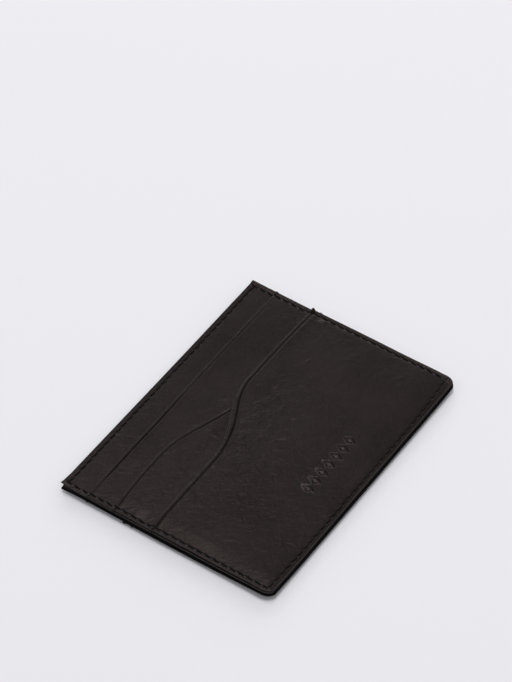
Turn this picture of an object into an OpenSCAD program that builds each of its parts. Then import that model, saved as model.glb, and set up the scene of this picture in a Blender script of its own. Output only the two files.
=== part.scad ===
// Flat card holder: two leather leaves sewn together on three sides, with a centre pocket that is
// open along the mouth, and three card slots on each leaf. The back leaf is the front leaf turned
// half a turn about Y. +X runs along the mouth, +Y points to the mouth, +Z out of the front leaf.
// The origin is on the surface that the holder lies on, under the middle of its outline.

/* [Case] */
// Length of the case, along its mouth
case_w = 100; // [97:0.5:110]
// Height of the case, from its bottom edge to its mouth
case_h = 75.5; // [74:0.5:82]
// Radius of the two bottom corners
corner_r = 3.4; // [3:0.1:6]
// Free height of the centre pocket, between the two linings
pocket_gap = 0.3; // [0.2:0.05:1]

/* [Materials] */
// Thickness of the lining of the centre pocket
lining_t = 0.2; // [0.1:0.05:0.3]
// Thickness of the base panel of a leaf
base_t = 0.5; // [0.4:0.05:0.8]
// Thickness of the leather strip of the upper and the middle pocket
strip_t = 0.4; // [0.35:0.05:0.6]
// Thickness of the lower pocket panel
lower_t = 0.5; // [0.4:0.05:0.8]
// Thickness of the fabric liner that makes the inside of a pocket
liner_t = 0.1; // [0.05:0.01:0.12]

/* [Pocket mouths] */
// Height of the straight upper mouth above the middle of the case
upper_mouth = 28.8; // [26:0.1:30]
// Height of the middle mouth at its high end
middle_high = 20; // [18:0.1:22]
// Height of the middle mouth at its low end
middle_low = 12.3; // [12:0.1:13]
// Where the middle mouth's bend has its centre
middle_bend_x = -7.7; // [-9:0.1:-6]
// Height of the lower mouth at its low end
lower_low = 5.7; // [3:0.1:8]
// Height of the lower mouth at its high end
lower_high = 15.4; // [14.8:0.1:17]
// Where the lower mouth's bend has its centre
lower_bend_x = -1.5; // [-3:0.1:0]
// Length of each bend along X
bend_w = 32.8; // [26:0.1:36]
// Distance from a mouth to its crease line
crease_in = 1.2; // [0.9:0.1:1.6]

/* [Pocket floors] */
// Lower edge of the upper pocket's leather strip
upper_strip_end = 12.6; // [12.4:0.05:12.7]
// Lower edge of the middle pocket's leather strip
middle_strip_end = -6; // [-8:0.5:-5]
// Stitch row that closes the upper pocket, a card's height below the mouth
upper_floor = -17.5; // [-19:0.5:-14]
// Stitch row that closes the middle pocket
middle_floor = -27; // [-27:0.5:-25]

/* [Seams] */
// Distance from the edge to the seam
seam_in = 1.8; // [1.5:0.1:2.2]
// Distance from one stitch to the next
stitch_pitch = 3; // [2.6:0.1:3.6]
// Length of a stitch
stitch_len = 2.3; // [1.8:0.1:2.4]
// Width of the thread
thread_w = 0.45; // [0.3:0.05:0.5]
// Thickness of the thread, pulled flat
thread_t = 0.24; // [0.18:0.01:0.25]
// Lean of each stitch against its row, in degrees
stitch_lean = 7; // [0:1:10]

/* [Ornament] */
// Number of lozenges pressed into the front lower pocket
lozenge_count = 7; // [3:1:9]
// Distance from one lozenge to the next
lozenge_pitch = 3.7; // [3.2:0.1:4.2]
// Width of a lozenge
lozenge_w = 2.8; // [2:0.1:3]
// Height of a lozenge
lozenge_h = 4.6; // [3:0.1:5]
// Height of the row's centre line, measured from the middle of the case
lozenge_y = -24.3; // [-26:0.1:-22]
// Depth of the pressed shapes
lozenge_deep = 0.2; // [0.1:0.05:0.3]

/* [Hidden] */
air = 0.02;
groove_w = thread_w + 0.3;
groove_d = thread_t + air;
crease_w = 0.5;
crease_d = 0.12;
floor_thread_t = 0.14;
bend_steps = 16;
reach = 200;
tall = 6;

half_w = case_w / 2;
half_h = case_h / 2;
seam_x = half_w - seam_in;
seam_y = half_h - seam_in;

// Heights in a leaf, from the lining's inner face outwards
base_z = lining_t + air;
base_top = base_z + base_t;
strip_z = base_top + air;
liner_top = strip_z + liner_t;
middle_hi_z = strip_z + strip_t + air;
middle_lo_z = liner_top + air;
middle_liner_z = liner_top + floor_thread_t + air;
lower_mid_z = middle_liner_z + liner_t + floor_thread_t + air;
lower_hi_z = middle_hi_z + strip_t - 0.01;
leaf_t = lower_hi_z + lower_t;
mid_z = leaf_t + pocket_gap / 2;

// Each ply's lower face as [y, z], from the bottom edge to its mouth
flat_base = [[-half_h, base_z], [half_h, base_z]];
upper_strip_path = [[upper_strip_end, strip_z], [upper_mouth, strip_z]];
middle_strip_path = [
    [middle_strip_end, middle_lo_z],
    [upper_strip_end - 2.6, middle_lo_z],
    [upper_strip_end, middle_hi_z],
    [middle_high + 1, middle_hi_z]
];
lower_path = [
    [-half_h, strip_z],
    [middle_floor - 5, strip_z],
    [middle_floor - 2.3, lower_mid_z],
    [middle_strip_end - 3, lower_mid_z],
    [middle_strip_end, lower_hi_z],
    [lower_high + 1, lower_hi_z]
];

leather = "#2b2725";
fabric = "#1d1c1c";
thread = "#141312";

// Share of a bend that is done at x, from 0 to 1
function bend_share(x, bend_x) =
    let (u = (x - bend_x) / bend_w + 0.5)
    u <= 0 ? 0 : u >= 1 ? 1 : (1 - cos(180 * u)) / 2;
function middle_mouth(x) = middle_high + (middle_low - middle_high) * bend_share(x, middle_bend_x);
function lower_mouth(x) = lower_low + (lower_high - lower_low) * bend_share(x, lower_bend_x);
function bend_xs(bend_x) = [
    -reach / 2,
    for (i = [0:bend_steps]) bend_x + bend_w * (i / bend_steps - 0.5),
    reach / 2
];
// Height of a path's face at y
function path_z(path, y, i = 0) =
    y <= path[0][0] ? path[0][1] :
    i >= len(path) - 1 ? path[len(path) - 1][1] :
    y <= path[i + 1][0] ? path[i][1] + (path[i + 1][1] - path[i][1])
        * (y - path[i][0]) / (path[i + 1][0] - path[i][0]) :
    path_z(path, y, i + 1);
// Height of a leaf's outer face
function face_z(x, y) =
    y < lower_mouth(x) ? path_z(lower_path, y) + lower_t :
    y < middle_mouth(x) ? path_z(middle_strip_path, y) + strip_t :
    y < upper_mouth ? strip_z + strip_t :
    base_top;
function highest(x, y, dy) = max(face_z(x, y - dy), face_z(x, y), face_z(x, y + dy));
// Side view of a ply between two heights above its lower face
function slab(path, z0, z1) = concat(
    [for (p = path) [p[0], p[1] + z0]],
    [for (i = [len(path) - 1:-1:0]) [path[i][0], path[i][1] + z1]]
);

// The holder's outline: square corners at the mouth, round ones at the bottom
module outline() {
    translate([-half_w, -half_h + corner_r]) square([case_w, case_h - corner_r]);
    translate([-half_w + corner_r, -half_h]) square([case_w - 2 * corner_r, corner_r]);
    for (side = [-1, 1])
        translate([side * (half_w - corner_r), -half_h + corner_r]) circle(r = corner_r, $fn = 64);
}

module band(y0, y1) {
    translate([-reach / 2, y0]) square([reach, y1 - y0]);
}

module below_middle_mouth() {
    xs = bend_xs(middle_bend_x);
    polygon(concat(
        [for (x = xs) [x, middle_mouth(x)]],
        [[reach / 2, middle_strip_end], [-reach / 2, middle_strip_end]]
    ));
}

module below_lower_mouth() {
    xs = bend_xs(lower_bend_x);
    polygon(concat(
        [for (x = xs) [x, lower_mouth(x)]],
        [[reach / 2, -reach], [-reach / 2, -reach]]
    ));
}

// A side view carried across the whole width
module across(points) {
    rotate([90, 0, 90]) linear_extrude(height = reach, center = true) polygon(points);
}

// A ply is its plan, children(0), cut from its side view
module ply(path, t) {
    intersection() {
        linear_extrude(height = tall) intersection() {
            outline();
            children();
        }
        across(slab(path, 0, t));
    }
}

module seam_plan() {
    for (side = [-1, 1])
        translate([side * seam_x - groove_w / 2, -seam_y - groove_w / 2])
            square([groove_w, case_h]);
    translate([-seam_x, -seam_y - groove_w / 2]) square([2 * seam_x, groove_w]);
}

// Channel in a ply's outer face, where the seam thread lies
module seam_groove(path, t) {
    intersection() {
        linear_extrude(height = tall) seam_plan();
        across(slab(path, t - groove_d, t + 1));
    }
}

// Heat crease beside a mouth, on the outer face at height z
module straight_crease(mouth, z) {
    translate([-reach / 2, mouth - crease_in - crease_w / 2, z - crease_d])
        cube([reach, crease_w, 1]);
}

module lower_crease(z) {
    xs = bend_xs(lower_bend_x);
    translate([0, 0, z - crease_d]) linear_extrude(height = 1) polygon(concat(
        [for (x = xs) [x, lower_mouth(x) - crease_in + crease_w / 2]],
        [for (i = [len(xs) - 1:-1:0]) [xs[i], lower_mouth(xs[i]) - crease_in - crease_w / 2]]
    ));
}

module middle_crease(z) {
    xs = bend_xs(middle_bend_x);
    translate([0, 0, z - crease_d]) linear_extrude(height = 1) polygon(concat(
        [for (x = xs) [x, middle_mouth(x) - crease_in + crease_w / 2]],
        [for (i = [len(xs) - 1:-1:0]) [xs[i], middle_mouth(xs[i]) - crease_in - crease_w / 2]]
    ));
}

module lozenges() {
    span = (lozenge_count - 1) * lozenge_pitch;
    for (i = [0:lozenge_count - 1])
        translate([i * lozenge_pitch - span / 2, lozenge_y])
            polygon([[-lozenge_w / 2, 0], [0, -lozenge_h / 2], [lozenge_w / 2, 0], [0, lozenge_h / 2]]);
}

// One stitch that lies flat, centred on the origin in plan, with its underside at z = 0
module stitch(t) {
    cut = thread_w / 4;
    half = thread_w / 2;
    rotate([90, 0, 90]) linear_extrude(height = stitch_len, center = true) polygon([
        [-half + cut, 0], [half - cut, 0], [half, t / 2],
        [half - cut, t], [-half + cut, t], [-half, t / 2]
    ]);
}

// Row of stitches along X, from -span / 2 to span / 2
module row_along_x(span, z, t) {
    count = floor(span / stitch_pitch);
    for (i = [0:count - 1])
        translate([(i - (count - 1) / 2) * stitch_pitch, 0, z]) rotate(stitch_lean) stitch(t);
}

// The leaf's own pieces, in leaf height
module lining() {
    color(fabric) linear_extrude(height = lining_t) outline();
}

module base_panel() {
    color(leather) difference() {
        ply(flat_base, base_t) band(-reach, reach);
        intersection() {
            seam_groove(flat_base, base_t);
            translate([-reach / 2, upper_mouth + air, 0]) cube([reach, reach, tall]);
        }
        translate([-seam_x, seam_y - groove_w / 2, base_top - groove_d])
            cube([2 * seam_x, groove_w, tall]);
    }
}

module upper_pocket() {
    color(leather) difference() {
        ply(upper_strip_path, strip_t) band(upper_strip_end, upper_mouth);
        seam_groove(upper_strip_path, strip_t);
        straight_crease(upper_mouth, strip_z + strip_t);
    }
}

module upper_pocket_liner() {
    path = [[upper_floor - 1.5, strip_z], [upper_strip_end - air, strip_z]];
    color(fabric) ply(path, liner_t) band(-reach, reach);
}

module upper_floor_stitches() {
    color(thread) translate([0, upper_floor, 0])
        row_along_x(2 * seam_x - 3, liner_top, floor_thread_t);
}

module middle_pocket() {
    color(leather) difference() {
        ply(middle_strip_path, strip_t) below_middle_mouth();
        seam_groove(middle_strip_path, strip_t);
        intersection() {
            middle_crease(middle_hi_z + strip_t);
            translate([-reach / 2, upper_strip_end, 0]) cube([reach, reach, tall]);
        }
    }
}

module middle_pocket_liner() {
    path = [[middle_floor - 1.5, middle_liner_z], [middle_strip_end - air, middle_liner_z]];
    color(fabric) ply(path, liner_t) band(-reach, reach);
}

module middle_floor_stitches() {
    color(thread) translate([0, middle_floor, 0])
        row_along_x(2 * seam_x - 3, middle_liner_z + liner_t, floor_thread_t);
}

module lower_pocket(ornament) {
    color(leather) difference() {
        ply(lower_path, lower_t) below_lower_mouth();
        seam_groove(lower_path, lower_t);
        lower_crease(leaf_t);
        if (ornament)
            translate([0, 0, lower_mid_z + lower_t - lozenge_deep])
                linear_extrude(height = 1) lozenges();
    }
}

module mouth_stitches() {
    color(thread) translate([0, seam_y, 0])
        row_along_x(2 * seam_x - stitch_pitch, base_top - groove_d, thread_t);
}

// One thread of the seam that joins the leaves, as its stitches on one leaf's outer face
module seam_thread() {
    side_span = 2 * seam_y - stitch_pitch;
    side_count = floor(side_span / stitch_pitch);
    color(thread) {
        for (side = [-1, 1], i = [0:side_count - 1]) {
            y = (i - (side_count - 1) / 2) * stitch_pitch;
            translate([side * seam_x, y, highest(side * seam_x, y, stitch_len / 2) - groove_d])
                rotate(90 + stitch_lean / 3) stitch(thread_t);
        }
        translate([0, -seam_y, 0])
            row_along_x(2 * seam_x - stitch_pitch, strip_z + lower_t - groove_d, thread_t);
    }
}

module front() {
    translate([0, 0, mid_z + pocket_gap / 2]) children();
}

module back() {
    translate([0, 0, mid_z - pocket_gap / 2]) rotate([0, 180, 0]) children();
}

front() lining();  // front_lining
front() base_panel();  // front_base_panel
front() upper_pocket();  // front_upper_pocket
front() upper_pocket_liner();  // front_upper_pocket_liner
front() upper_floor_stitches();  // front_upper_floor_stitches
front() middle_pocket();  // front_middle_pocket
front() middle_pocket_liner();  // front_middle_pocket_liner
front() middle_floor_stitches();  // front_middle_floor_stitches
front() lower_pocket(true);  // front_lower_pocket
front() mouth_stitches();  // front_mouth_stitches
back() lining();  // back_lining
back() base_panel();  // back_base_panel
back() upper_pocket();  // back_upper_pocket
back() upper_pocket_liner();  // back_upper_pocket_liner
back() upper_floor_stitches();  // back_upper_floor_stitches
back() middle_pocket();  // back_middle_pocket
back() middle_pocket_liner();  // back_middle_pocket_liner
back() middle_floor_stitches();  // back_middle_floor_stitches
back() lower_pocket(false);  // back_lower_pocket
back() mouth_stitches();  // back_mouth_stitches
front() seam_thread();  // seam_front_thread
back() seam_thread();  // seam_back_thread
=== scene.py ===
import math

import bpy
import numpy as np
from mathutils import Matrix, Vector


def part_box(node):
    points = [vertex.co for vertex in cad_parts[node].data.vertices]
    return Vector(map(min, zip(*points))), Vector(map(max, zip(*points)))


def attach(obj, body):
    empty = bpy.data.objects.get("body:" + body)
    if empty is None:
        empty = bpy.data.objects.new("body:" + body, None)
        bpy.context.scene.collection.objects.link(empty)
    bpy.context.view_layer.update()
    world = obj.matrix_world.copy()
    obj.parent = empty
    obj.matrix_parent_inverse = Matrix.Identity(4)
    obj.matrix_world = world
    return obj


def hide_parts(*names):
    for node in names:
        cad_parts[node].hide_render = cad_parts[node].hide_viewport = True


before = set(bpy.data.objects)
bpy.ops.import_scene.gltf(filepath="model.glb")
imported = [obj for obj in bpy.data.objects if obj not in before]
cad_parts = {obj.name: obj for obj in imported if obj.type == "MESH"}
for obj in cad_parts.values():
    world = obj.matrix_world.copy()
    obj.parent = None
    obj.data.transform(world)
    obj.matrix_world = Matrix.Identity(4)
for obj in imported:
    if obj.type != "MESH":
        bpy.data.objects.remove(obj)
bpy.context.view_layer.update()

# ---------------------------------------------------------------------------------------------
# Sizes, in millimetres. A leaf has its own coordinates: x along the mouth, y to the mouth and
# z outwards from the leaf's inner face. The back leaf is the front one turned about Y.
# ---------------------------------------------------------------------------------------------
MM = 0.001


def cad_mm(node):
    """Lowest and highest corner of a CAD node."""
    low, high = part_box(node)
    return np.array(low) / MM, np.array(high) / MM


def row_height(node):
    """Height of a row of stitches above the middle of the case."""
    return np.mean([corner[1] for corner in cad_mm(node)])


_, (HALF_W, HALF_H, _) = cad_mm("front_base_panel")
CORNER_R = 3.4

# Heights of the mouths, and the bends between their two ends
(_, UPPER_STRIP_END, _), (_, UPPER_MOUTH, _) = cad_mm("front_upper_pocket")
(_, MIDDLE_STRIP_END, _), (_, MIDDLE_HIGH, _) = cad_mm("front_middle_pocket")
_, (_, LOWER_HIGH, _) = cad_mm("front_lower_pocket")
MIDDLE_LOW = 12.3
LOWER_LOW = 5.7
MIDDLE_BEND_X = -7.7
LOWER_BEND_X = -1.5
BEND_W = 32.8

# Lower ends of the liners, and the stitches that close the pockets
(_, UPPER_LINER_END, _), _ = cad_mm("front_upper_pocket_liner")
(_, MIDDLE_LINER_END, _), _ = cad_mm("front_middle_pocket_liner")
UPPER_FLOOR = row_height("front_upper_floor_stitches")
MIDDLE_FLOOR = row_height("front_middle_floor_stitches")

# Thickness of the plies, and the height of each one's lower face in its leaf
AIR = 0.015
LINING_T = 0.2
BASE_T = 0.5
STRIP_T = 0.42
LOWER_T = 0.55
LINER_T = 0.1
LINER_AIR = 0.03
BASE_Z = LINING_T + AIR
STRIP_Z = BASE_Z + BASE_T + AIR
OVER_STRIP = STRIP_Z + STRIP_T + AIR
OVER_LINER = STRIP_Z + LINER_T + AIR
LOWER_Z = OVER_LINER + STRIP_T + AIR
MIDDLE_LINER_Z = OVER_LINER + LINER_AIR
LOWER_FLAT_Z = MIDDLE_LINER_Z + LINER_T + LINER_AIR
# Height of the plane between the two leaves above the floor
MID_Z = 2.05

# Seams
SEAM_X = HALF_W - 1.9
SEAM_Y = HALF_H - 1.72
SEAM_CORNER_R = 1.2
PITCH = 2.95
STRAND_R = 0.14
PLY_R = 0.1
STRAND_SIDES = 7
TURNS_PER_MM = 0.8
# How far outside the row the leather swells between two stitches
BULGE_OUT = 0.5
# What the seam takes off the stack, as shares of its height: along the row, in a wider valley
# round it, out to the cut edge, round each hole and in it; and the swelling between stitches
ROW_DENT = 0.07
ROW_VALLEY = 0.045
EDGE_THINNING = 0.3
HOLE_PULL, HOLE_PULL_W = 0.04, 0.85
HOLE_DENT, HOLE_W = 0.1, 0.3
STITCH_SWELL = 0.05

# Distance from the upper and the middle mouth to its crease
UPPER_HEM = 1.07
MIDDLE_HEM = 1.13

# The row of lozenges pressed into the front lower pocket
LOZENGES = 7
LOZENGE_PITCH = 3.7
LOZENGE_W = 2.8
LOZENGE_H = 4.6
LOZENGE_Y = -24.3
LOZENGE_DEEP = 0.46
DISH_DEEP = 0.08

# The short fold in the lower pocket at the right-hand seam
TUCK_X, TUCK_Y = 46.6, 9.4
TUCK_HIGH = 0.22
# Folds under the bend of the lower mouth: distance from it, middle, half length and height
FOLDS = ((5.2, -9, 5, 0.05), (6.9, -6, 6, -0.04), (8.3, -2, 5, 0.04), (10.4, 3, 6, -0.035),
         (12.5, 9, 6, 0.03))

# How far the pockets stand proud between the seams, and the width of the rise at either side
PILLOW_HIGH = 0.3
PILLOW_LEFT, PILLOW_RIGHT = 4.5, 15

# The plane between the leaves: sag to the bottom edge, curl of its corners and of the mouth's
# tips, and a slow warp
SAG = 0.14
CORNER_CURL = 0.55
TIP_CURL = 0.25
WARP = 0.06
# Gap between the leaves at the seam, more inside it and past it, and at the mouth's two tips
SEAM_GAP = 0.03
INSIDE_GAP = 0.12
EDGE_GAP, LEFT_EDGE_GAP = 0.35, 0.4
LEFT_TIP_GAP, RIGHT_TIP_GAP = 1.15, 0.35
# How much the table flattens the back's outer plies
BACK_FLAT = 0.36

# Strength of the painted shade in a crease for its depth, and in a slot's line, a stitch row and a
# needle hole, at most 1
CREASE_DARK = 4.8
SLOT_DARK = 0.75
ROW_DARK = 0.25
HOLE_DARK, HOLE_DARK_W = 0.6, 0.25

# Grid spacing at the cut edges and away from everything
EDGE_FINE = 0.12
COARSE = 0.62
# Faces that round a panel's cut edge
EDGE_STEPS = 6


def ease(a, b, v):
    """Smooth step from 0 at a to 1 at b."""
    t = np.clip((v - a) / (b - a), 0, 1)
    return t * t * (3 - 2 * t)


def bell(v, width):
    """1 at 0, falling to nothing over about twice the width."""
    return np.exp(-((v / width) ** 2))


# ---------------------------------------------------------------------------------------------
# Lines on a leaf
# ---------------------------------------------------------------------------------------------
def bend(x, centre):
    """Share of a mouth's bend that is done at x."""
    return 0.5 - 0.5 * np.cos(np.pi * np.clip((x - centre) / BEND_W + 0.5, 0, 1))


def upper_mouth(x):
    """The upper mouth's edge, a slightly wavy line."""
    return UPPER_MOUTH + 0.12 * np.sin(x / 16 + 0.8)


def middle_mouth(x):
    """The middle mouth's edge, which droops at its left end."""
    line = MIDDLE_HIGH + (MIDDLE_LOW - MIDDLE_HIGH) * bend(x, MIDDLE_BEND_X)
    return line - 0.8 * ease(-32, -50, x)


def lower_mouth(x):
    """The lower mouth's edge, which droops at its right end."""
    line = LOWER_LOW + (LOWER_HIGH - LOWER_LOW) * bend(x, LOWER_BEND_X)
    return line - 0.3 * ease(20, 50, x)


def mouth_distance(mouth, x, y):
    """Distance from the mouth's edge, measured square to it, positive on the panel."""
    slope = mouth(x + 0.5) - mouth(x - 0.5)
    return (mouth(x) - y) / np.sqrt(1 + slope**2)


def bottom_seam(x):
    """Height of the bottom seam, which climbs a little to both corners."""
    start, reach = 15, 33
    left = 0.5 * (np.clip(-x - start, 0, None) / reach) ** 3
    right = 1.4 * (np.clip(x - start, 0, None) / reach) ** 3
    return -SEAM_Y + left + right


def seam_distance(x, y):
    """Signed distance from the seam round three sides, positive towards the edge."""
    qx = np.abs(x) - SEAM_X + SEAM_CORNER_R
    qy = bottom_seam(x) - y + SEAM_CORNER_R
    inside = np.minimum(np.maximum(qx, qy), 0)
    return inside + np.hypot(np.maximum(qx, 0), np.maximum(qy, 0)) - SEAM_CORNER_R


def seam_holes():
    """Needle holes of the seam as [x, y], from the mouth down the left side and round."""
    side = np.arange(HALF_H - 0.5, bottom_seam(-SEAM_X) + 0.5 * PITCH, -PITCH)
    count = round(2 * SEAM_X / PITCH)
    # the end holes of the bottom row stay clear of the side rows
    along = np.linspace(-SEAM_X + 0.25, SEAM_X - 0.35, count + 1)
    left = [[-SEAM_X, y] for y in side]
    bottom = [[x, bottom_seam(x)] for x in along]
    right = [[SEAM_X, y] for y in side[::-1]]
    return np.array(left + bottom + right)


def mouth_holes():
    """Needle holes of the row along the base panel's top edge."""
    count = round(2 * SEAM_X / PITCH)
    return np.array([[x, SEAM_Y] for x in np.linspace(-SEAM_X, SEAM_X, count + 1)])


def dimples(x, y, holes, width):
    """1 in each needle hole, 0 away from them."""
    out = np.zeros_like(x)
    for hx, hy in holes:
        near = (np.abs(x - hx) < 4 * width) & (np.abs(y - hy) < 4 * width)
        if near.any():
            out[near] += bell(np.hypot(x[near] - hx, y[near] - hy), width)
    return np.minimum(out, 1)


SEAM_HOLES = seam_holes()
MOUTH_HOLES = mouth_holes()


def seam_bulges():
    """Where the leather swells between two stitches, just outside the row."""
    holes = SEAM_HOLES.copy()
    on_side = np.abs(holes[:, 0]) > SEAM_X - 0.1
    holes[on_side, 0] += BULGE_OUT * np.sign(holes[on_side, 0])
    holes[~on_side, 1] -= BULGE_OUT
    return holes


SEAM_BULGES = seam_bulges()
MOUTH_BULGES = MOUTH_HOLES + [0.0, BULGE_OUT]


# ---------------------------------------------------------------------------------------------
# Heights in a leaf
# ---------------------------------------------------------------------------------------------
def waves(x, y, spans, seed):
    """Soft undulation between about -1 and 1, as a sum of plane waves of the given spans."""
    rng = np.random.default_rng(seed)
    total = np.zeros_like(x)
    for span in spans:
        angle = rng.uniform(0, math.pi)
        shift = rng.uniform(0, 2 * math.pi)
        total += np.sin(2 * math.pi * (x * math.cos(angle) + y * math.sin(angle)) / span + shift)
    return total / len(spans)


def press(x, y):
    """Share of the stack's height that the seam leaves; 1 away from it."""
    d = seam_distance(x, y)
    valley = ROW_DENT * bell(d, 0.26) + ROW_VALLEY * bell(d, 1.3)
    margin = EDGE_THINNING * ease(0.1, 1.9, d)
    pulled = HOLE_PULL * dimples(x, y, SEAM_HOLES, HOLE_PULL_W)
    pulled = pulled + HOLE_DENT * dimples(x, y, SEAM_HOLES, HOLE_W)
    return 1 - valley - margin - pulled + STITCH_SWELL * dimples(x, y, SEAM_BULGES, 0.4)


def under_lining(x, y):
    return np.zeros_like(x)


def under_base(x, y):
    return np.full_like(x, BASE_Z)


def under_strip(x, y):
    """The upper strip gapes a little along its mouth."""
    gape = 0.25 * bell(x + 28, 8) + 0.1 * bell(x + 6, 6) + 0.08 * bell(x - 15, 18)
    return STRIP_Z + gape * ease(6, 0, mouth_distance(upper_mouth, x, y)) + 0.3 * pillow(x, y)


def under_middle(x, y):
    """The middle strip lies on the liner, and climbs over the upper strip's lower edge."""
    over = ease(12.3, 14.5, middle_mouth(x)) * ease(UPPER_STRIP_END - 4, UPPER_STRIP_END, y)
    gape = 0.1 * bell(x + 30, 10) * ease(5, 0, mouth_distance(middle_mouth, x, y))
    lip = under_strip(x, y) - STRIP_Z
    return OVER_LINER + (OVER_STRIP - OVER_LINER) * over + gape + 0.5 * lip + 0.6 * pillow(x, y)


def under_upper_liner(x, y):
    return np.full_like(x, STRIP_Z)


def under_middle_liner(x, y):
    return MIDDLE_LINER_Z + 0.6 * pillow(x, y)


def under_lower(x, y):
    """The lower panel climbs from the base over the middle liner and then the middle strip."""
    on_liner = (LOWER_FLAT_Z - STRIP_Z) * ease(-HALF_H - 1, MIDDLE_FLOOR - 0.5, y)
    on_strip = (LOWER_Z - LOWER_FLAT_Z) * ease(MIDDLE_STRIP_END - 18, MIDDLE_STRIP_END - 0.3, y)
    over_end = 0.1 * ease(UPPER_STRIP_END, LOWER_HIGH, y)
    return STRIP_Z + on_liner + on_strip - over_end + pillow(x, y)


def hem(mouth, x, y, width, depth, rim, soft=0.15):
    """Turned rim along a mouth, with the pressed crease beside it."""
    d = mouth_distance(mouth, x, y)
    raised = rim * (1 - np.clip((d - 0.6 * width) / (0.62 * width), -1, 1) ** 2) ** 0.8
    crease = depth * bell(d - width, soft)
    shoulder = 0.2 * depth * bell(d - width - 0.7, 0.5)
    return raised - crease + shoulder


def upper_crease(x):
    """Depth of the upper mouth's crease, which is deepest left of the middle."""
    return 0.11 + 0.15 * ease(-44, -34, x) * ease(2, -12, x) - 0.07 * ease(30, 42, x)


def middle_crease(x):
    """Depth of the middle mouth's crease, which is deepest where the lower panel meets it."""
    return 0.13 + 0.08 * bell(x + 2, 12)


def upper_rim(x):
    """Height of the upper mouth's rim, which stands up at its left end."""
    return 0.04 + 0.06 * ease(-38, -44, x)


def middle_rim(x):
    """Height of the middle rim, which is flat under the lower panel."""
    return (0.04 + 0.11 * ease(-20, -30, x)) * ease(8, 3, x)


def lower_rim(x):
    """Height of the lower mouth's rim, which is highest on its left half."""
    return 0.09 + 0.06 * ease(16, 4, x)


def lower_crease(x):
    """Depth of the lower mouth's crease, which is deepest round the bend."""
    return 0.16 + 0.1 * bell(x - LOWER_BEND_X, 14) + 0.02 * ease(-20, -40, x)


def lower_hem_width(x):
    """Distance from the lower mouth to its crease, which is widest round the bend."""
    return 1.25 + 0.65 * bell(x - LOWER_BEND_X, 8) + 0.1 * ease(-10, -30, x)


def pillow(x, y):
    """The pockets stand a little proud between the seams, least at the bottom left."""
    left, right = ease(0.3, PILLOW_LEFT, SEAM_X + x), ease(0.3, PILLOW_RIGHT, SEAM_X - x)
    rise = np.where(x < 0, left, right)
    height = PILLOW_HIGH - 0.1 * ease(-4, -24, y) * ease(0, -25, x)
    return height * rise * (0.7 + 0.3 * ease(0, 12, y - bottom_seam(x)))


def folds(x, y):
    """Shallow curved folds under the bend of the lower mouth."""
    d = mouth_distance(lower_mouth, x, y)
    out = np.zeros_like(x)
    for gap, centre, reach, height in FOLDS:
        line = gap + 0.5 * np.sin(x / 2.3 + gap)
        out += height * bell(d - line, 0.4) * bell(x - centre, reach)
    return out


def tuck(x, y):
    """Short fold where the lower mouth meets the right-hand seam."""
    along = 0.57 * (x - TUCK_X) - 0.82 * (y - TUCK_Y)
    across = 0.82 * (x - TUCK_X) + 0.57 * (y - TUCK_Y)
    return TUCK_HIGH * bell(along, 1.5) * bell(across, 0.42)


def lozenges(x, y):
    """Depth of the pressed row of lozenge rings."""
    out = np.zeros_like(x)
    for i in range(LOZENGES):
        cx = (i - (LOZENGES - 1) / 2) * LOZENGE_PITCH
        u = np.abs(x - cx) / (LOZENGE_W / 2) + np.abs(y - LOZENGE_Y) / (LOZENGE_H / 2)
        out = np.maximum(out, ease(1.13, 0.86, u) * (1 - 0.85 * ease(0.6, 0.32, u)))
    return LOZENGE_DEEP * out


def over_lining(x, y):
    return under_lining(x, y) + LINING_T


def over_base(x, y):
    """The base panel's top strip is pressed down by its stitches and swells beside them."""
    row = 0.06 * bell(y - SEAM_Y, 0.35) * ease(SEAM_X + 0.5, SEAM_X, np.abs(x))
    pulled = 0.03 * dimples(x, y, MOUTH_HOLES, HOLE_PULL_W)
    pulled = pulled + 0.12 * dimples(x, y, MOUTH_HOLES, HOLE_W)
    pulled -= 0.1 * dimples(x, y, MOUTH_BULGES, 0.42)
    swell = 0.05 * ease(HALF_H - 2.2, HALF_H - 5, y) * ease(UPPER_MOUTH, UPPER_MOUTH + 3, y)
    return under_base(x, y) + BASE_T - row - pulled + swell


def over_strip(x, y):
    edge = hem(upper_mouth, x, y, UPPER_HEM, upper_crease(x), upper_rim(x))
    return under_strip(x, y) + STRIP_T + edge


def over_middle(x, y):
    edge = hem(middle_mouth, x, y, MIDDLE_HEM, middle_crease(x), middle_rim(x))
    return under_middle(x, y) + STRIP_T + edge


def over_lower(x, y):
    edge = hem(lower_mouth, x, y, lower_hem_width(x), lower_crease(x), lower_rim(x), 0.28)
    rolls = 0.04 * waves(x, y, (31, 23, 17, 12), 5) + 0.01 * waves(x, y, (7.3, 5.1, 4.3), 9)
    return under_lower(x, y) + LOWER_T + edge + rolls + tuck(x, y) + folds(x, y)


def dish(x, y):
    """The leather dips a little round the pressed row."""
    past_end = np.clip(np.abs(x) - 11, 0, None)
    return DISH_DEEP * bell(past_end, 2.8) * bell(y - LOZENGE_Y, 3.6)


def over_front_lower(x, y):
    return over_lower(x, y) - dish(x, y) - lozenges(x, y)


# The shades are painted shade: how dark a spot is painted for lying in a hollow, from 0 to 1.
def crease_shade(mouth, x, y, width, depth, soft=0.24):
    return CREASE_DARK * depth * bell(mouth_distance(mouth, x, y) - width, soft)


def slot_shade(mouth, x, y):
    """Painted shadow: the dark line beside a mouth's edge, on the panel under it."""
    return SLOT_DARK * bell(mouth_distance(mouth, x, y) + 0.12, 0.17)


# painted shade along the seam's row and in its needle holes
def seam_shade(x, y):
    line = ROW_DARK * bell(seam_distance(x, y), 0.3)
    return np.maximum(line, HOLE_DARK * dimples(x, y, SEAM_HOLES, HOLE_DARK_W))


# painted shade along the mouth row, in its holes and beside the upper mouth
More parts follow.
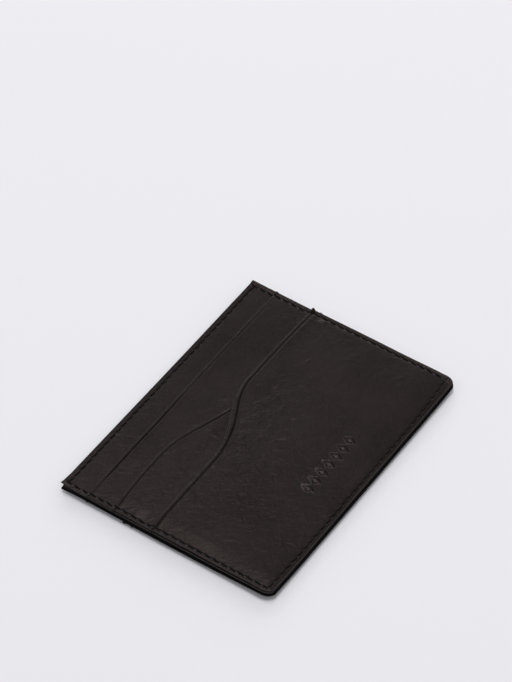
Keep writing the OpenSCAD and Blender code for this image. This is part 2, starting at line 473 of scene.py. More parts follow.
def base_shade(x, y):
    row = ROW_DARK * bell(y - SEAM_Y, 0.3) * ease(SEAM_X + 0.5, SEAM_X, np.abs(x))
    row = np.maximum(row, HOLE_DARK * dimples(x, y, MOUTH_HOLES, HOLE_DARK_W))
    return np.maximum.reduce([seam_shade(x, y), row, 0.5 * slot_shade(upper_mouth, x, y)])


def upper_shade(x, y):
    crease = crease_shade(upper_mouth, x, y, UPPER_HEM, upper_crease(x))
    slot = np.maximum(0.5 * slot_shade(middle_mouth, x, y), slot_shade(lower_mouth, x, y))
    return np.maximum.reduce([seam_shade(x, y), crease, slot])


def middle_shade(x, y):
    crease = crease_shade(middle_mouth, x, y, MIDDLE_HEM, middle_crease(x))
    return np.maximum.reduce([seam_shade(x, y), crease, slot_shade(lower_mouth, x, y)])


def lower_shade(x, y):
    crease = crease_shade(lower_mouth, x, y, lower_hem_width(x), lower_crease(x), 0.34)
    return np.maximum(seam_shade(x, y), crease)


# painted shade in the walls of the pressed lozenges, on top of the lower pocket's
def front_lower_shade(x, y):
    return np.maximum(lower_shade(x, y), 1.9 * lozenges(x, y))


def pressed(x, y):
    """Where the die has pressed the leather smooth."""
    return 1.8 * lozenges(x, y)


def lined(x, y):
    """How strongly the leather is lined by use: most towards the left and the mouth."""
    left = ease(30, -25, x + 0.4 * y)
    return 0.2 + 0.8 * left * (0.35 + 0.65 * ease(-20, 5, y))


def creased(x, y):
    """How strongly the leather is creased in all directions: most round the bends."""
    middle = np.exp(-(((x - 2) / 17) ** 2) - ((y + 1) / 12) ** 2)
    left = 0.5 * np.exp(-(((x + 26) / 9) ** 2) - ((y - 5) / 7) ** 2)
    return 0.36 + 0.64 * np.clip(middle + left, 0, 1)


def leaf_face(x, y, over_top):
    """Height of whichever panel is outermost."""
    z = over_base(x, y)
    z = np.where(y < upper_mouth(x), over_strip(x, y), z)
    z = np.where(y < middle_mouth(x), over_middle(x, y), z)
    return np.where(y < lower_mouth(x), over_top(x, y), z)


# ---------------------------------------------------------------------------------------------
# Where the leaves lie
# ---------------------------------------------------------------------------------------------
def middle_plane(x, y):
    """Height of the plane between the leaves: it sags to the bottom edge, whose corners curl."""
    sag = SAG * ease(-8, -HALF_H, y)
    curl = CORNER_CURL * (np.abs(x) / HALF_W) ** 4 * ease(-12, -HALF_H, y)
    tip = TIP_CURL * ease(10, HALF_H, y) * (np.abs(x) / HALF_W) ** 2
    return MID_Z - sag + curl + tip + WARP * waves(x, y, (95, 70, 55), 3)


def opening(x, y):
    """Gap between the leaves: shut at the seams, splayed past them and at the mouth's tips."""
    d = seam_distance(x, y)
    inside = INSIDE_GAP * ease(-0.3, -8, d)
    left_edge = LEFT_EDGE_GAP * ease(SEAM_X, HALF_W, -x) * ease(-34, -5, y)
    past = EDGE_GAP * ease(0.2, 1.8, d) + left_edge
    left_tip = LEFT_TIP_GAP * ease(7, 0, HALF_H - y) ** 1.5 * ease(-HALF_W + 6, -HALF_W, x)
    right_tip = RIGHT_TIP_GAP * ease(6, 0, HALF_H - y) * ease(HALF_W - 5, HALF_W, x)
    return SEAM_GAP + inside + past + left_tip + right_tip


def place(x, y, z, side):
    """Leaf coordinates to the model's, in metres; side is 1 for the front and -1 for the back."""
    wx = side * x
    height = opening(wx, y) / 2 + press(x, y) * z
    if side == 1:
        # the front's right-hand margin stands up instead of thinning
        past = ease(0.1, 1.9, seam_distance(x, y)) * ease(SEAM_X - 1, SEAM_X + 0.3, x)
        height = height + past * (0.24 * z + 0.12 * ease(-30, -15, y))
    else:
        # the back is pressed flat by lying on it
        height = height - BACK_FLAT * ease(1.0, 2.2, height)
    return np.stack([wx, y, middle_plane(wx, y) + side * height], axis=-1) * MM


# ---------------------------------------------------------------------------------------------
# Meshes
# ---------------------------------------------------------------------------------------------
def spaced(stops):
    """Grid lines through stops of [position, spacing after it], the last without spacing."""
    out = []
    for (a, step), (b, _) in zip(stops, stops[1:]):
        count = max(1, round((b - a) / step))
        out.extend(np.linspace(a, b, count, endpoint=False))
    return np.array(out + [stops[-1][0]])


def add_object(name, data):
    piece = bpy.data.objects.new(name, data)
    bpy.context.scene.collection.objects.link(piece)
    return piece


def make_mesh(name, verts, faces, materials, face_materials, shades):
    """A mesh of quads; shades are its point attributes, by name."""
    mesh = bpy.data.meshes.new(name)
    mesh.vertices.add(len(verts))
    mesh.vertices.foreach_set("co", np.asarray(verts, np.float32).ravel())
    faces = np.asarray(faces, np.int32)
    mesh.loops.add(faces.size)
    mesh.loops.foreach_set("vertex_index", faces.ravel())
    mesh.polygons.add(len(faces))
    starts = np.arange(0, faces.size, faces.shape[1], dtype=np.int32)
    mesh.polygons.foreach_set("loop_start", starts)
    for material in materials:
        mesh.materials.append(material)
    mesh.polygons.foreach_set("material_index", np.asarray(face_materials, np.int32))
    mesh.update(calc_edges=True)
    for key, values in shades.items():
        mesh.attributes.new(key, "FLOAT", "POINT").data.foreach_set("value", values)
    mesh.validate()
    mesh.shade_smooth()
    return add_object(name, mesh)


def ring_of(columns, rows):
    """Vertex numbers round a grid's border, counter-clockwise."""
    grid = np.arange(columns * rows).reshape(rows, columns)
    return np.concatenate([grid[0, :-1], grid[:-1, -1], grid[-1, :0:-1], grid[:0:-1, 0]])


def outlined(under, over, y_low, y_high, xs, rows, inset, ear):
    """Grid of a panel inside its outline, as x, y and the radius that rounds its edges."""
    middle = np.zeros(1)
    middle_t = float(np.mean(over(middle, middle) - under(middle, middle)))
    round_r = 0.45 * min(middle_t, 0.5)
    share_x, share_y = np.meshgrid(xs / HALF_W, rows)
    x = share_x * HALF_W
    y = y_low(x) + share_y * (y_high(x) - y_low(x))
    # keep the border a rounding in from the outline, so that the rounding reaches it
    y = np.clip(y, np.maximum(y_low(x), -HALF_H + inset[1]) + round_r, y_high(x) - round_r)
    below = np.clip(-HALF_H + CORNER_R - y, 0, CORNER_R - 1e-6)
    half = HALF_W - CORNER_R + np.sqrt(CORNER_R**2 - below**2)
    hem_end = ear * bell(y_high(x) - y - 0.5, 0.55)
    return share_x * (half - round_r - inset[0] + hem_end), y, round_r


def outward(bx, by):
    """Normals of a closed line that runs counter-clockwise."""
    dx, dy = np.roll(bx, -1) - np.roll(bx, 1), np.roll(by, -1) - np.roll(by, 1)
    length = np.maximum(np.hypot(dx, dy), 1e-9)
    return dy / length, -dx / length


def ply(name, side, under, over, y_low, y_high, xs, rows, materials, shade=None,
        inset=(0.0, 0.0), ear=0.0):
    """A closed panel between two height fields, with rounded edges.

    xs are the grid's x lines; rows run from 0 at y_low(x) to 1 at y_high(x). materials are the
    outer face's, the edge's, the inner face's if it has its own, and the pressed parts'. shade
    gives the attribute of painted shade, inset is how far the panel stays in from the holder's
    sides and bottom, and ear how far the ends of its hem stand out.
    """
    x, y, round_r = outlined(under, over, y_low, y_high, xs, rows, inset, ear)
    count, columns = x.shape
    x, y = x.ravel(), y.ravel()
    border = ring_of(columns, count)
    bx, by = x[border], y[border]
    nx, ny = outward(bx, by)

    def over_ear(x, y):
        if not ear:
            return over(x, y)
        lift = 0.8 * ear * bell(y_high(x) - y - 0.5, 0.5)
        return over(x, y) + lift * ease(SEAM_X, SEAM_X + 1.2, np.abs(x))

    # the outer face, the rings round the edge and the inner face
    verts = [place(x, y, over_ear(x, y), side)]
    low, high = under(bx, by), over_ear(bx, by)
    for k in range(1, EDGE_STEPS):
        angle = math.pi * k / EDGE_STEPS
        ex, ey = bx + nx * round_r * math.sin(angle), by + ny * round_r * math.sin(angle)
        z = (low + high) / 2 + (high - low) / 2 * math.cos(angle)
        verts.append(place(ex, ey, z, side))
    verts.append(place(x, y, under(x, y), side))
    verts = np.concatenate(verts)

    grid = np.arange(columns * count).reshape(count, columns)
    corners = [grid[:-1, :-1], grid[:-1, 1:], grid[1:, 1:], grid[1:, :-1]]
    top = np.stack(corners, -1).reshape(-1, 4)
    rings = columns * count + np.arange((EDGE_STEPS - 1) * len(border)).reshape(-1, len(border))
    inner_first = columns * count + rings.size
    faces = [top, top[:, ::-1] + inner_first]
    loops = [border, *rings, border + inner_first]
    for upper, lower in zip(loops, loops[1:]):
        faces.append(np.stack([upper, lower, np.roll(lower, -1), np.roll(upper, -1)], -1))

    inner = 2 if len(materials) > 2 else 0
    kinds = [np.zeros(len(top), int), np.full(len(top), inner)]
    kinds += [np.ones(len(border), int)] * (EDGE_STEPS - 1) + [np.full(len(border), inner)]
    if len(materials) > 3:
        kinds[0][pressed(x, y)[top].mean(axis=1) > 0.02] = 3

    shades = {}
    # the first attribute is painted shade; the others say where the leather is lined and creased
    fields = {"painted_shade": shade, "lined": lined, "creased": creased}
    if shade is front_lower_shade:
        fields["pressed"] = pressed
    for key, field in fields.items():
        shades[key] = np.zeros(len(verts), np.float32)
        if shade is not None:
            shades[key][: len(x)] = np.clip(field(x, y), 0, 1)
    if shade is not None:
        # painted shade over the lower half of a cut edge, which the light from above misses, and
        # over the inner face, which lies in the gap to the next panel
        shades["painted_shade"][len(x): inner_first] = np.repeat((0.0, 0.1, 0.5, 0.9, 1.0), len(border))
        shades["painted_shade"][inner_first:] = 1.0
    return make_mesh(name, verts, np.concatenate(faces), materials, np.concatenate(kinds), shades)


def twisted(points, size):
    """Two strands twisted round a line of points: each one's middle line, and two axes across."""
    points = np.asarray(points)
    tangent = np.gradient(points, axis=0)
    tangent /= np.linalg.norm(tangent, axis=1, keepdims=True)
    across = np.cross(tangent, [0.0, 0.0, 1.0])
    across /= np.linalg.norm(across, axis=1, keepdims=True)
    up = np.cross(across, tangent)
    walked = np.concatenate([[0], np.cumsum(np.linalg.norm(np.diff(points, axis=0), axis=1))])
    tubes = []
    for strand in (0, math.pi):
        angle = 2 * math.pi * TURNS_PER_MM * walked + strand
        aside = across * np.cos(angle)[:, None] + up * np.sin(angle)[:, None]
        tubes.append((points + size * PLY_R * aside, across, up))
    return tubes


def thread(name, stitches, material, size=1.0):
    """One mesh of every stitch; each stitch is a line of points in millimetres."""
    sides = STRAND_SIDES
    turn = 2 * math.pi * np.arange(sides) / sides
    verts, faces, first = [], [], 0
    for points in stitches:
        for line, across, up in twisted(points, size):
            spokes = across[:, None, :] * np.cos(turn)[None, :, None]
            spokes = spokes + up[:, None, :] * np.sin(turn)[None, :, None]
            rings = line[:, None, :] + size * STRAND_R * spokes
            count = len(line)
            verts += [rings.reshape(-1, 3), line[:1], line[-1:]]
            number = first + np.arange(count * sides).reshape(count, sides)
            beside = np.roll(number, -1, axis=1)
            quads = np.stack([number[:-1], number[1:], beside[1:], beside[:-1]], -1)
            faces += quads.reshape(-1, 4).tolist()
            start, end = first + count * sides, first + count * sides + 1
            faces += [[start, a, b] for a, b in zip(number[0], beside[0])]
            faces += [[end, b, a] for a, b in zip(number[-1], beside[-1])]
            first = end + 1
    mesh = bpy.data.meshes.new(name)
    mesh.from_pydata((np.concatenate(verts) * MM).tolist(), [], faces)
    mesh.materials.append(material)
    mesh.validate()
    mesh.shade_smooth()
    return add_object(name, mesh)


def stitch_lines(holes, side, face, lift=0.16, skew=0.2, steps=17):
    """The line of each stitch from one hole to the next, over the leaf's outer face.

    lift is the height of its middle above the face, and skew how far its ends lie beside the row.
    """
    lines = []
    for (ax, ay), (bx, by) in zip(holes, holes[1:]):
        length = math.hypot(bx - ax, by - ay)
        if length < 0.5 * PITCH or length > 1.6 * PITCH:
            continue
        tx, ty = (bx - ax) / length, (by - ay) / length
        # t runs along the stitch, whose ends go down into the holes
        t = np.linspace(0.09, 0.91, steps)
        aside = skew * (1 - 2 * t)
        x = ax + (bx - ax) * t - ty * aside
        y = ay + (by - ay) * t + tx * aside
        z = face(x, y)
        z = np.maximum(z, np.maximum(np.roll(z, 1), np.roll(z, -1)))
        z[0], z[-1] = z[1], z[-2]
        dive = 5 * lift * (bell(t - 0.05, 0.09) + bell(0.95 - t, 0.09))
        lines.append(place(x, y, z + lift - dive, side) / MM)
    return lines


# ---------------------------------------------------------------------------------------------
# Materials
# ---------------------------------------------------------------------------------------------
class Nodes:
    """Short names for building a node tree."""

    def __init__(self, name):
        self.material = bpy.data.materials.new(name)
        self.material.use_nodes = True
        self.tree = self.material.node_tree
        self.shader = self.tree.nodes["Principled BSDF"]

    def add(self, kind, **settings):
        node = self.tree.nodes.new(kind)
        for key, value in settings.items():
            setattr(node, key, value)
        return node

    def link(self, source, target):
        self.tree.links.new(source, target)

    def math(self, operation, a, b=0.0, clamp=False):
        node = self.add("ShaderNodeMath", operation=operation, use_clamp=clamp)
        for socket, value in zip(node.inputs, (a, b)):
            if isinstance(value, (int, float)):
                socket.default_value = value
            else:
                self.link(value, socket)
        return node.outputs[0]

    def place(self, scale=(1, 1, 1), turn=0.0):
        """Object coordinates, in millimetres, turned about Z and then stretched."""
        coordinates = self.add("ShaderNodeTexCoord")
        turned = self.add("ShaderNodeMapping")
        turned.inputs["Rotation"].default_value = (0, 0, turn)
        self.link(coordinates.outputs["Object"], turned.inputs["Vector"])
        stretched = self.add("ShaderNodeMapping")
        stretched.inputs["Scale"].default_value = [k / MM for k in scale]
        self.link(turned.outputs[0], stretched.inputs["Vector"])
        return stretched.outputs[0]

    def noise(self, where, scale, detail=3.0, roughness=0.5, distortion=0.0):
        node = self.add("ShaderNodeTexNoise")
        self.link(where, node.inputs["Vector"])
        node.inputs["Scale"].default_value = scale
        node.inputs["Detail"].default_value = detail
        node.inputs["Roughness"].default_value = roughness
        node.inputs["Distortion"].default_value = distortion
        return node.outputs["Fac"]

    def furrows(self, where, scale, width):
        """0 along wandering lines, rising to 1 beside them."""
        cloud = self.noise(where, scale, detail=2.0, distortion=0.6)
        return self.span(self.math("ABSOLUTE", self.math("SUBTRACT", cloud, 0.5)), 0.0, width)

    def attribute(self, name):
        return self.add("ShaderNodeAttribute", attribute_name=name).outputs["Fac"]

    def cells(self, where, scale):
        """Distance from the borders of small irregular cells."""
        node = self.add("ShaderNodeTexVoronoi", feature="DISTANCE_TO_EDGE")
        self.link(where, node.inputs["Vector"])
        node.inputs["Scale"].default_value = scale
        return node.outputs["Distance"]

    def ramp(self, value, stops):
        node = self.add("ShaderNodeValToRGB")
        self.link(value, node.inputs["Fac"])
        elements = node.color_ramp.elements
        while len(elements) < len(stops):
            elements.new(0.5)
        for element, (position, colour) in zip(elements, stops):
            element.position = position
            element.color = (*colour, 1)
        return node.outputs["Color"]

    def dimmed(self, colour, share, least):
        """The colour, falling to the given part of it as share rises to 1."""
        mix = self.add("ShaderNodeMix", data_type="RGBA", blend_type="MULTIPLY")
        self.link(share, mix.inputs["Factor"])
        self.link(colour, mix.inputs["A"])
        mix.inputs["B"].default_value = (least, least, least, 1)
        return mix.outputs["Result"]

    def with_painted_shade(self, colour):
        """The colour, dimmed by painted shade where the mesh says that it lies in a hollow."""
        return self.dimmed(colour, self.attribute("painted_shade"), PAINTED_SHADE_LEFT)

    def settle(self, colour, rough, normal):
        """Links the finished colour, roughness and normal to the shader."""
        self.link(colour, self.shader.inputs["Base Color"])
        self.link(rough, self.shader.inputs["Roughness"])
        self.link(normal, self.shader.inputs["Normal"])

    def set(self, **values):
        """Constants on the shader's sockets, whose names are written with underscores."""
        for key, value in values.items():
            self.shader.inputs[key.replace("_", " ")].default_value = value

    def span(self, value, a, b, c=0.0, d=1.0):
        """The value, taken from a range of a to b to one of c to d."""
        node = self.add("ShaderNodeMapRange")
        self.link(value, node.inputs["Value"])
        for key, number in zip(("From Min", "From Max", "To Min", "To Max"), (a, b, c, d)):
            node.inputs[key].default_value = number
        return node.outputs["Result"]

    def bump(self, height, distance_mm, strength, normal=None):
        node = self.add("ShaderNodeBump")
        node.inputs["Strength"].default_value = strength
        node.inputs["Distance"].default_value = distance_mm * MM
        self.link(height, node.inputs["Height"])
        if normal is not None:
            self.link(normal, node.inputs["Normal"])
        return node.outputs["Normal"]

    def warped(self, where, scale, amount):
        """Coordinates pushed about by noise."""
        node = self.add("ShaderNodeTexNoise")
        self.link(where, node.inputs["Vector"])
        node.inputs["Scale"].default_value = scale
        node.inputs["Detail"].default_value = 2.0
        push = self.add("ShaderNodeVectorMath", operation="MULTIPLY_ADD")
        self.link(node.outputs["Color"], push.inputs[0])
        push.inputs[1].default_value = (amount, amount, amount)
        self.link(where, push.inputs[2])
        return push.outputs[0]


# Colours, each from its darkest to its lightest
LEATHER_DARK, LEATHER_LIGHT = (0.0046, 0.0033, 0.0031), (0.0088, 0.0064, 0.0058)
EDGE_DARK, EDGE_LIGHT = (0.025, 0.021, 0.022), (0.082, 0.071, 0.071)
FLESH_DARK, FLESH_LIGHT = (0.03, 0.026, 0.024), (0.06, 0.053, 0.049)
CLOTH_DARK, CLOTH_LIGHT = (0.003, 0.003, 0.003), (0.010, 0.0098, 0.0095)
THREAD_DARK, THREAD_LIGHT = (0.002, 0.0018, 0.0018), (0.005, 0.0046, 0.0045)
GLOSS_TINT = (1.0, 0.79, 0.77, 1)
# What is left of a colour under the deepest painted shade, in a hollow and at the bottom of a
# furrow
PAINTED_SHADE_LEFT = 0.12
FURROW_LEFT = 0.3
# Direction of the creases that use has made
CREASE_TURN = math.radians(55)


def leather(name, gloss):
    """Leather with fine pores, furrows and soft folds, with painted shade in its hollows and
    furrows; gloss is its specular level.
    """
    n = Nodes(name)
    flat = n.place()
    streak = n.place(scale=(0.3, 1.0, 1), turn=CREASE_TURN)
    lined_by, creased_by = n.attribute("lined"), n.attribute("creased")
    mottle = n.noise(flat, 0.05, detail=4)
    fine = n.noise(flat, 1.3, detail=4, roughness=0.6)
    tone = n.math("ADD", n.math("MULTIPLY", mottle, 0.65), n.math("MULTIPLY", fine, 0.35))
    # the colour is dimmed by painted shade where the mesh marks a hollow
    colour = n.with_painted_shade(n.ramp(tone, [(0.38, LEATHER_DARK), (0.64, LEATHER_LIGHT)]))

    grain = n.span(n.cells(n.warped(flat, 0.8, 0.5), 1.5), 0.0, 0.2)
    line_furrows = n.furrows(streak, 0.8, 0.25)
    fold_furrows = n.furrows(n.warped(flat, 0.1, 4.0), 0.3, 0.2)
    lines = n.math("MULTIPLY", line_furrows, lined_by)
    rolls = n.math("MULTIPLY", n.noise(streak, 0.45, detail=1, distortion=0.8), lined_by)
    soft = n.math("MULTIPLY", n.noise(streak, 1.1, detail=1, distortion=0.8), lined_by)
    folds = n.math("MULTIPLY", fold_furrows, creased_by)
    swell = n.math("MULTIPLY", n.noise(flat, 0.35, detail=2), creased_by)

    # painted shade at the bottom of the furrows and folds, which also roughens them
    line_furrow_shade = n.math("MULTIPLY", n.span(line_furrows, 0.0, 0.8, 0.5, 0.0), lined_by)
    fold_furrow_shade = n.math("MULTIPLY", n.span(fold_furrows, 0.0, 0.8, 1.0, 0.0), creased_by)
    furrow_shade = n.math("MAXIMUM", line_furrow_shade, fold_furrow_shade)
    colour = n.dimmed(colour, n.math("MULTIPLY", furrow_shade, 0.9), FURROW_LEFT)

    normal = n.bump(grain, 0.02, 0.6)
    for height, distance in ((soft, 0.09), (rolls, 0.15), (lines, 0.03), (swell, 0.17),
                             (folds, 0.11)):
        normal = n.bump(height, distance, 0.8, normal)
    rough = n.math("ADD", n.span(mottle, 0.3, 0.7, 0.25, 0.31), n.span(grain, 0, 1, 0.04, 0.0))
    for operation, share, amount in (("ADD", n.attribute("painted_shade"), 0.45), ("ADD", furrow_shade, 0.12),
                                     ("SUBTRACT", n.attribute("pressed"), 0.16)):
        rough = n.math(operation, rough, n.math("MULTIPLY", share, amount), clamp=True)
    n.settle(colour, rough, normal)
    n.set(Specular_IOR_Level=gloss, Specular_Tint=GLOSS_TINT, Sheen_Weight=0.01,
          Sheen_Roughness=0.4)
    return n.material


def cut_edge():
    """The panels' cut edges: greyer than their faces, with fibres along them and painted shade over
    their lower half.
    """
    n = Nodes("painted_edge")
    fibre = n.noise(n.place(scale=(1, 1, 4)), 2.2, detail=5, roughness=0.7)
    colour = n.with_painted_shade(n.ramp(fibre, [(0.35, EDGE_DARK), (0.7, EDGE_LIGHT)]))
    n.settle(colour, n.span(fibre, 0.3, 0.7, 0.6, 0.75), n.bump(fibre, 0.05, 0.6))
    n.set(IOR=1.08)
    return n.material


def flesh_side():
    """The leather's rough inner face, dyed grey, made black by painted shade, as all of it lies in
    the gaps between panels.
    """
    n = Nodes("leather_flesh_side")
    nap = n.noise(n.place(), 2.5, detail=4, roughness=0.7)
    colour = n.with_painted_shade(n.ramp(nap, [(0.3, FLESH_DARK), (0.75, FLESH_LIGHT)]))
    n.link(colour, n.shader.inputs["Base Color"])
    n.link(n.bump(nap, 0.06, 0.6), n.shader.inputs["Normal"])
    n.set(Roughness=0.8, Specular_IOR_Level=0.15)
    return n.material


def cloth(name, tight):
    """Thin woven cloth: two sets of yarns at right angles, packed as closely as tight says."""
    n = Nodes(name)
    flat = n.place()
    yarns = []
    for direction in ("X", "Y"):
        wave = n.add("ShaderNodeTexWave", wave_type="BANDS", bands_direction=direction)
        n.link(flat, wave.inputs["Vector"])
        wave.inputs["Scale"].default_value = tight
        wave.inputs["Distortion"].default_value = 0.4
        yarns.append(wave.outputs["Fac"])
    weave = n.math("MULTIPLY", *yarns)
    fluff = n.noise(flat, 6.0, detail=2)
    relief = n.math("ADD", weave, n.math("MULTIPLY", fluff, 0.3))
    colour = n.ramp(weave, [(0.0, CLOTH_DARK), (1.0, CLOTH_LIGHT)])
    n.settle(colour, n.span(fluff, 0.3, 0.7, 0.75, 0.9), n.bump(relief, 0.05, 0.7))
    n.set(Sheen_Weight=0.15)
    return n.material


def waxed_thread():
    """Black thread with a dull wax on it."""
    n = Nodes("waxed_thread")
    fibre = n.noise(n.place(), 9.0, detail=3)
    colour = n.ramp(fibre, [(0.3, THREAD_DARK), (0.8, THREAD_LIGHT)])
    n.settle(colour, n.span(fibre, 0.3, 0.7, 0.5, 0.7), n.bump(fibre, 0.03, 0.6))
    n.set(Specular_IOR_Level=0.15, Sheen_Weight=0.02)
    return n.material


LEATHER = leather("black_leather", 0.16)
PRESSED = leather("pressed_leather", 0.42)
EDGE = cut_edge()
FLESH = flesh_side()
LINING = cloth("twill_lining", 2.2)
LINER = cloth("pocket_liner", 3.0)
THREAD = waxed_thread()


# ---------------------------------------------------------------------------------------------
# Pieces
# ---------------------------------------------------------------------------------------------
def columns(fine_middle=False):
    """Grid lines along x: fine at both seams, and in the middle where the ornament is."""
    row = LOZENGES * LOZENGE_PITCH / 2 + 0.6
    left = [[-HALF_W, EDGE_FINE], [-HALF_W + 0.4, 0.2], [-SEAM_X - 0.6, 0.11],
            [-SEAM_X + 0.6, 0.24], [-SEAM_X + 1.5, 0.45], [-HALF_W + 8, COARSE]]
    middle = [[-row, 0.18], [row, COARSE]] if fine_middle else []
    right = [[HALF_W - 8, 0.45], [SEAM_X - 1.5, 0.24], [SEAM_X - 0.6, 0.11], [SEAM_X + 0.6, 0.2],
             [HALF_W - 0.4, EDGE_FINE], [HALF_W, 1]]
    return spaced(left + middle + right)


def share(stops, span):
    """Rows from stops in millimetres above the panel's low end to shares of its height."""
    return spaced(stops) / span


def level(value):
    """A straight line along x, as a function."""
    return lambda x: np.full_like(x, value)


def make_leaf(side):
    """Every piece of a leaf but its outer threads; side is 1 for the front and -1 for the back."""
    name = "front" if side == 1 else "back"
    over_top = over_front_lower if side == 1 else over_lower
    skin = [LEATHER, EDGE, FLESH]
    height = 2 * HALF_H
    plain_xs = columns()
    # how far the panels stay in from the holder's sides and bottom
    base_in, pocket_in, cloth_in = (0.2, 0.4), (0.6, 0.4), (0.8, 0.9)
    if side == -1:
        base_in, pocket_in, cloth_in = (0.0, -0.05), (0.25, 0.1), (0.7, 0.7)

    def add(piece, node):
        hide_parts(f"{name}_{node}")
        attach(piece, "root")

    mouth_at = UPPER_MOUTH + HALF_H
    base_rows = share([[0, 0.3], [4, 0.8], [mouth_at - 0.6, 0.13], [mouth_at + 1, 0.4],
                       [height - 4, 0.2], [height - 2.3, 0.11], [height - 1.1, 0.2], [height, 1]],
                      height)
    base = ply(f"{name}_base_leather", side, under_base, over_base, level(-HALF_H), level(HALF_H),
               plain_xs, base_rows, skin, base_shade, base_in)
    add(base, "base_panel")

    lining_rows = share([[0, 0.4], [4, 1.2], [height - 4, 0.4], [height, 1]], height)
    lining = ply(f"{name}_lining_cloth", side, under_lining, over_lining, level(-HALF_H + 0.15),
                 level(HALF_H - 0.2), plain_xs, lining_rows, [LINING, LINING], inset=cloth_in)
    add(lining, "lining")

    span = UPPER_MOUTH - UPPER_STRIP_END
    rows = share([[0, 0.16], [8.4, 0.4], [span - 4, 0.3], [span - 2.2, 0.09], [span, 1]], span)
    upper = ply(f"{name}_upper_leather", side, under_strip, over_strip, level(UPPER_STRIP_END),
                upper_mouth, plain_xs, rows, skin, upper_shade, pocket_in, 0.25)
    add(upper, "upper_pocket")

    span = MIDDLE_HIGH - MIDDLE_STRIP_END
    rows = share([[0, 0.5], [10, 0.16], [span - 2.6, 0.09], [span, 1]], span)
    middle = ply(f"{name}_middle_leather", side, under_middle, over_middle, level(MIDDLE_STRIP_END),
                 middle_mouth, plain_xs, rows, skin, middle_shade, pocket_in, 0.4)
    add(middle, "middle_pocket")

    span = LOWER_HIGH + HALF_H
    ornament = HALF_H + LOZENGE_Y
    rows = share([[0, 0.14], [0.4, 0.22], [1.1, 0.12], [2.3, 0.25], [4, 0.6],
                  [ornament - 3.2, 0.18], [ornament + 3.2, 0.6], [span - 7, 0.3],
                  [span - 3.4, 0.1], [span, 1]], span)
    lower = ply(f"{name}_lower_leather", side, under_lower, over_top, level(-HALF_H), lower_mouth,
                columns(side == 1), rows, skin + [PRESSED] * (side == 1),
                front_lower_shade if side == 1 else lower_shade, pocket_in, 0.4)
    add(lower, "lower_pocket")

    for pocket, under, low, high, floor in (
        ("upper", under_upper_liner, UPPER_LINER_END, UPPER_STRIP_END, UPPER_FLOOR),
        ("middle", under_middle_liner, MIDDLE_LINER_END, MIDDLE_STRIP_END, MIDDLE_FLOOR),
    ):
        over = lambda x, y, under=under: under(x, y) + LINER_T
        rows = np.linspace(0, 1, 24)
        liner = ply(f"{name}_{pocket}_liner_cloth", side, under, over, level(low),
                    level(high - 0.05), plain_xs, rows, [LINER, LINER], inset=cloth_in)
        add(liner, f"{pocket}_pocket_liner")
        holes = [[x, floor] for x in MOUTH_HOLES[1:-1, 0]]
        lines = stitch_lines(holes, side, over, lift=0.05, skew=0.05)
        stitches = thread(f"{name}_{pocket}_floor_stitching", lines, THREAD, 0.3)
        add(stitches, f"{pocket}_floor_stitches")


def make_threads():
    """The threads that show on the outside, which lie over whichever panel is outermost."""
    front_face = lambda x, y: leaf_face(x, y, over_front_lower)
    back_face = lambda x, y: leaf_face(x, y, over_lower)
    for name, side, face in (("front", 1, front_face), ("back", -1, back_face)):
        seam = thread(f"seam_{name}_stitching", stitch_lines(SEAM_HOLES, side, face), THREAD)
        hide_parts(f"seam_{name}_thread")
        mouth = thread(f"{name}_mouth_stitching", stitch_lines(MOUTH_HOLES, side, face), THREAD)
        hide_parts(f"{name}_mouth_stitches")
        for piece in (seam, mouth):
            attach(piece, "root")


for side in (1, -1):
    make_leaf(side)
make_threads()


# ---------------------------------------------------------------------------------------------
# Studio
# ---------------------------------------------------------------------------------------------
CAMERA_AT = (-0.5006, -0.3604, 0.7196)
CAMERA_RIGHT = (0.56982, -0.82159, -0.01740)
CAMERA_UP = (0.61388, 0.41149, 0.67366)
SKY, SKY_STRENGTH = (0.93, 0.94, 1.0, 1), 0.29
PAPER = (0.88, 0.88, 0.91, 1)
WARM = (1.0, 0.985, 0.97)
DAYLIGHT = (1.0, 0.99, 0.98)
WHITE = (1.0, 1.0, 1.0)
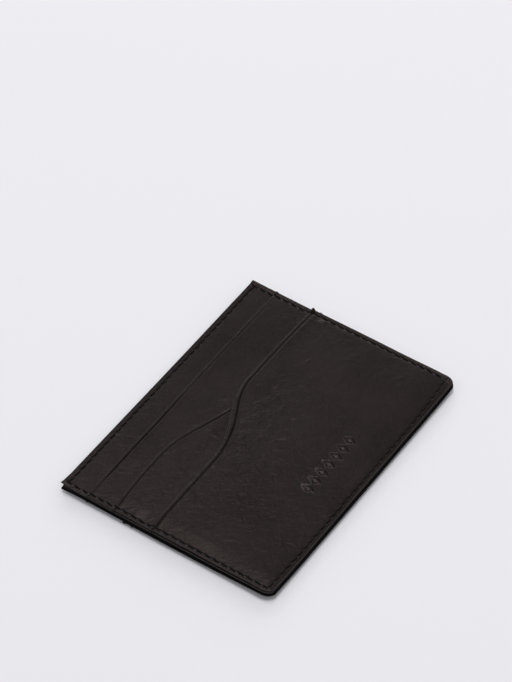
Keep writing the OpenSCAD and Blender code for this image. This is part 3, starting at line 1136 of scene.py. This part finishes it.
# Name, place and size in metres, watts and colour; each one faces the holder
LIGHTS = (
    ("softbox", (0.22, 0.1, 2.5), (0.7, 0.7), 18.5, WARM),
    ("window", (0.7, 0.75, 2.45), (0.75, 0.75), 10.0, DAYLIGHT),
    ("backdrop", (2.2, 0.85, 0.9), (2.6, 1.2), 23.0, DAYLIGHT),
    ("side_window", (1.2, 1.5, 1.15), (0.6, 0.45), 2.5, DAYLIGHT),
    ("left_fill", (-1.4, 0.9, 1.7), (1.3, 1.1), 3.5, WHITE),
    ("near_fill", (-1.0, -1.4, 1.7), (1.3, 1.1), 3.5, WHITE),
    ("right_fill", (1.05, -1.4, 1.7), (1.3, 1.1), 3.5, WHITE),
)


def make_camera():
    """The camera looks down on the front leaf from the left and the bottom edge."""
    data = bpy.data.cameras.new("camera")
    data.sensor_width = 36
    data.lens = 166.5
    data.clip_start, data.clip_end = 0.05, 10
    camera = add_object("camera", data)
    right, up = Vector(CAMERA_RIGHT), Vector(CAMERA_UP)
    turn = Matrix((right, up, right.cross(up))).transposed().to_4x4()
    camera.matrix_world = Matrix.Translation(CAMERA_AT) @ turn
    bpy.context.scene.camera = camera


def area_light(name, place_at, size, watts, colour):
    data = bpy.data.lights.new(name, "AREA")
    data.shape = "RECTANGLE"
    data.size, data.size_y = size
    data.energy = watts
    data.color = colour
    light = add_object(name, data)
    light.location = place_at
    light.rotation_mode = "QUATERNION"
    light.rotation_quaternion = (-Vector(place_at)).to_track_quat("-Z", "Y")


def make_studio():
    """Sky, lights and a pale paper floor."""
    world = bpy.data.worlds.new("studio")
    bpy.context.scene.world = world
    world.use_nodes = True
    background = world.node_tree.nodes["Background"]
    background.inputs["Color"].default_value = SKY
    background.inputs["Strength"].default_value = SKY_STRENGTH
    for light in LIGHTS:
        area_light(*light)

    bpy.ops.mesh.primitive_plane_add(size=8, location=(0, 0, 0))
    floor = bpy.context.object
    floor.name = "floor"
    paper = Nodes("pale_paper")
    paper.set(Base_Color=PAPER, Roughness=0.9, Specular_IOR_Level=0.1)
    floor.data.materials.append(paper.material)
    bpy.context.scene.view_settings.view_transform = "Standard"


make_camera()
make_studio()
